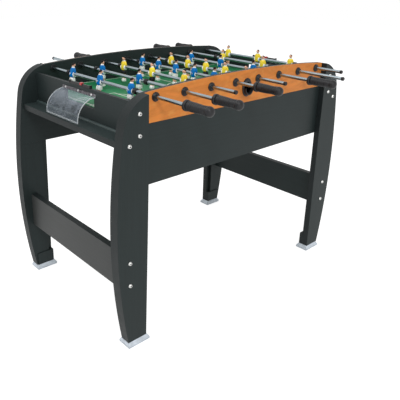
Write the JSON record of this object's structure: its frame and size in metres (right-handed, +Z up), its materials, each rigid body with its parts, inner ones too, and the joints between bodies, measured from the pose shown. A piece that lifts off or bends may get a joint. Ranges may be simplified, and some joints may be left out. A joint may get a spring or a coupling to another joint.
{
  "type": "foosball table",
  "caption": "Foosball table with arched side walls, bowed board legs, sliding and turning player rods, clear goal hoods, end ball trays and sliding score counters.",
  "frame": {"origin": "on the floor under the middle of the table, at the middle of its length and of the width over the rods at rest", "axes": "+X along the table from the left goal to the right goal, +Y across it from the near side with the ball entry to the far side, +Z up"},
  "size_m": [1.219, 1.152, 0.913],
  "materials": {
    "black_board": "satin black laminate on particle board",
    "grey_board": "satin dark grey laminate on particle board",
    "orange_facing": "satin orange printed facing with a faint wood figure",
    "green_field": "satin green printed board",
    "batten_wood": "plain sawn wood",
    "pale_plastic": "pale grey moulded plastic",
    "black_plastic": "black moulded plastic",
    "clear_plastic": "clear sheet with moulded lines",
    "plated_steel": "bright plated steel",
    "red_plastic": "glossy red moulded plastic",
    "rod_chrome": "bright chrome plating",
    "blue_players": "painted blue moulded plastic",
    "yellow_players": "painted yellow moulded plastic",
    "grip_rubber": "black moulded plastic with shallow ribs",
    "bumper_rubber": "black rubber"
  },
  "bodies": {
    "cabinet": {"side_walls": "black_board", "side_facings": "orange_facing", "goal_panels": "black_board", "ball_trays": "black_board", "playfield": "green_field", "field_battens": "batten_wood", "leg_near_left": "black_board", "leg_near_right": "black_board", "leg_far_left": "black_board", "leg_far_right": "black_board", "leg_liners": "black_board", "foot_pads": "pale_plastic", "stretchers": "grey_board", "rod_bearings": "black_plastic", "goal_hoods": "clear_plastic", "ball_entry_cup": "black_plastic", "bolts_and_screws": "plated_steel", "score_rails": "black_plastic"},
    "score_slider_left": {"score_slider_left": "red_plastic"},
    "score_slider_right": {"score_slider_right": "red_plastic"},
    "rod_1_carriage": {"rod_1_bumpers": "bumper_rubber"},
    "rod_1": {"rod_1_tube": "rod_chrome", "rod_1_players": "blue_players", "rod_1_grip": "grip_rubber", "rod_1_end_cap": "black_plastic"},
    "rod_2_carriage": {"rod_2_bumpers": "bumper_rubber"},
    "rod_2": {"rod_2_tube": "rod_chrome", "rod_2_players": "blue_players", "rod_2_grip": "grip_rubber", "rod_2_end_cap": "black_plastic"},
    "rod_3_carriage": {"rod_3_bumpers": "bumper_rubber"},
    "rod_3": {"rod_3_tube": "rod_chrome", "rod_3_players": "yellow_players", "rod_3_grip": "grip_rubber", "rod_3_end_cap": "black_plastic"},
    "rod_4_carriage": {"rod_4_bumpers": "bumper_rubber"},
    "rod_4": {"rod_4_tube": "rod_chrome", "rod_4_players": "blue_players", "rod_4_grip": "grip_rubber", "rod_4_end_cap": "black_plastic"},
    "rod_5_carriage": {"rod_5_bumpers": "bumper_rubber"},
    "rod_5": {"rod_5_tube": "rod_chrome", "rod_5_players": "yellow_players", "rod_5_grip": "grip_rubber", "rod_5_end_cap": "black_plastic"},
    "rod_6_carriage": {"rod_6_bumpers": "bumper_rubber"},
    "rod_6": {"rod_6_tube": "rod_chrome", "rod_6_players": "blue_players", "rod_6_grip": "grip_rubber", "rod_6_end_cap": "black_plastic"},
    "rod_7_carriage": {"rod_7_bumpers": "bumper_rubber"},
    "rod_7": {"rod_7_tube": "rod_chrome", "rod_7_players": "yellow_players", "rod_7_grip": "grip_rubber", "rod_7_end_cap": "black_plastic"},
    "rod_8_carriage": {"rod_8_bumpers": "bumper_rubber"},
    "rod_8": {"rod_8_tube": "rod_chrome", "rod_8_players": "yellow_players", "rod_8_grip": "grip_rubber", "rod_8_end_cap": "black_plastic"}
  },
  "joints": [
    {"name": "score_slide_left", "type": "slide", "parent": "cabinet", "child": "score_slider_left", "axis": [0, 1, 0], "range_m": [-0.0475, 0.0675]},
    {"name": "score_slide_right", "type": "slide", "parent": "cabinet", "child": "score_slider_right", "axis": [0, 1, 0], "range_m": [-0.0475, 0.0675]},
    {"name": "rod_1_slide", "type": "slide", "parent": "cabinet", "child": "rod_1_carriage", "axis": [0, 1, 0], "range_m": [-0.072, 0.108]},
    {"name": "rod_1_spin", "type": "hinge", "parent": "rod_1_carriage", "child": "rod_1", "pos_m": [-0.4375, 0, 0.872], "axis": [0, 1, 0], "continuous": true},
    {"name": "rod_2_slide", "type": "slide", "parent": "cabinet", "child": "rod_2_carriage", "axis": [0, 1, 0], "range_m": [-0.16905, 0.10695]},
    {"name": "rod_2_spin", "type": "hinge", "parent": "rod_2_carriage", "child": "rod_2", "pos_m": [-0.3125, 0, 0.872], "axis": [0, 1, 0], "continuous": true},
    {"name": "rod_3_slide", "type": "slide", "parent": "cabinet", "child": "rod_3_carriage", "axis": [0, 1, 0], "range_m": [-0.0819, 0.0981]},
    {"name": "rod_3_spin", "type": "hinge", "parent": "rod_3_carriage", "child": "rod_3", "pos_m": [-0.1875, 0, 0.872], "axis": [0, 1, 0], "continuous": true},
    {"name": "rod_4_slide", "type": "slide", "parent": "cabinet", "child": "rod_4_carriage", "axis": [0, 1, 0], "range_m": [-0.05336, 0.06264]},
    {"name": "rod_4_spin", "type": "hinge", "parent": "rod_4_carriage", "child": "rod_4", "pos_m": [-0.0625, 0, 0.872], "axis": [0, 1, 0], "continuous": true},
    {"name": "rod_5_slide", "type": "slide", "parent": "cabinet", "child": "rod_5_carriage", "axis": [0, 1, 0], "range_m": [-0.0058, 0.1102]},
    {"name": "rod_5_spin", "type": "hinge", "parent": "rod_5_carriage", "child": "rod_5", "pos_m": [0.0625, 0, 0.872], "axis": [0, 1, 0], "continuous": true},
    {"name": "rod_6_slide", "type": "slide", "parent": "cabinet", "child": "rod_6_carriage", "axis": [0, 1, 0], "range_m": [-0.072, 0.108]},
    {"name": "rod_6_spin", "type": "hinge", "parent": "rod_6_carriage", "child": "rod_6", "pos_m": [0.1875, 0, 0.872], "axis": [0, 1, 0], "continuous": true},
    {"name": "rod_7_slide", "type": "slide", "parent": "cabinet", "child": "rod_7_carriage", "axis": [0, 1, 0], "range_m": [-0.108, 0.168]},
    {"name": "rod_7_spin", "type": "hinge", "parent": "rod_7_carriage", "child": "rod_7", "pos_m": [0.3125, 0, 0.872], "axis": [0, 1, 0], "continuous": true},
    {"name": "rod_8_slide", "type": "slide", "parent": "cabinet", "child": "rod_8_carriage", "axis": [0, 1, 0], "range_m": [-0.0738, 0.1062]},
    {"name": "rod_8_spin", "type": "hinge", "parent": "rod_8_carriage", "child": "rod_8", "pos_m": [0.4375, 0, 0.872], "axis": [0, 1, 0], "continuous": true}
  ]
}
